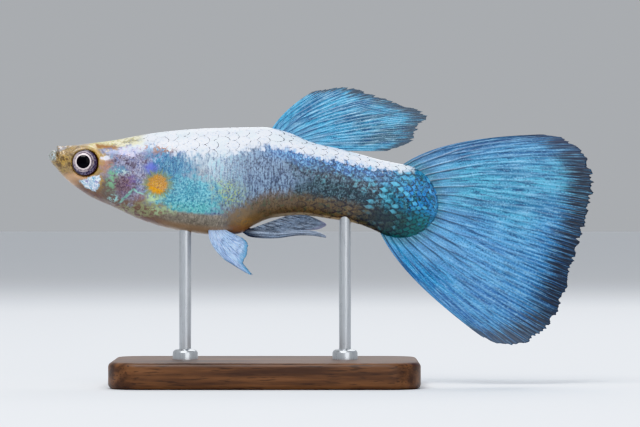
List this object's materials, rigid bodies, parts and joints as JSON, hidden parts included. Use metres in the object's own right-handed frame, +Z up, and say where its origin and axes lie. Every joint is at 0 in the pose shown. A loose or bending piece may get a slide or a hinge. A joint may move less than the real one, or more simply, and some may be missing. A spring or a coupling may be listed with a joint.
{
  "type": "guppy",
  "caption": "Still life-size male fancy guppy with a broad fan tail, held level on a flat wooden stand by slender steel rods.",
  "frame": {"origin": "the floor point midway along the fish's overall length, in its middle plane, level with the stand's underside", "axes": "+X towards the tail, the snout points to -X, +Y towards the fish's right side, +Z up"},
  "size_m": [0.0498, 0.018, 0.0273],
  "materials": {
    "head_skin": "wet, smooth skin: olive gold snout, rose-brown throat, lilac and silver iridescent gill cover",
    "trunk_skin": "wet scaled skin: brilliant white back, grey-blue and turquoise flank, grey-brown belly, one orange spot",
    "stalk_skin": "wet scaled skin: white back band, dark slate-green side, turquoise and azure scales at the tail's root",
    "eye": "clear cornea over a black pupil, a bright silver ring and a dark violet-grey rim",
    "fin_blue": "thin rayed membrane, sky blue with turquoise streaks and a smoky, nearly clear margin",
    "fin_pale": "thin rayed membrane, pale blue-white with dusky streaks",
    "fin_clear": "nearly clear rayed membrane",
    "stand_wood": "dark oiled wood, satin",
    "stand_steel": "fine brushed rod"
  },
  "bodies": {
    "root": {"head": "head_skin", "trunk": "trunk_skin", "tail_stalk": "stalk_skin", "eye_left": "eye", "eye_right": "eye", "dorsal_fin": "fin_blue", "caudal_fin": "fin_blue", "anal_fin": "fin_pale", "gonopodium": "fin_pale", "pelvic_fin_left": "fin_pale", "pelvic_fin_right": "fin_pale", "pectoral_fin_left": "fin_clear", "pectoral_fin_right": "fin_clear", "stand_base": "stand_wood", "stand_rod_front": "stand_steel", "stand_rod_rear": "stand_steel"}
  },
  "joints": []
}
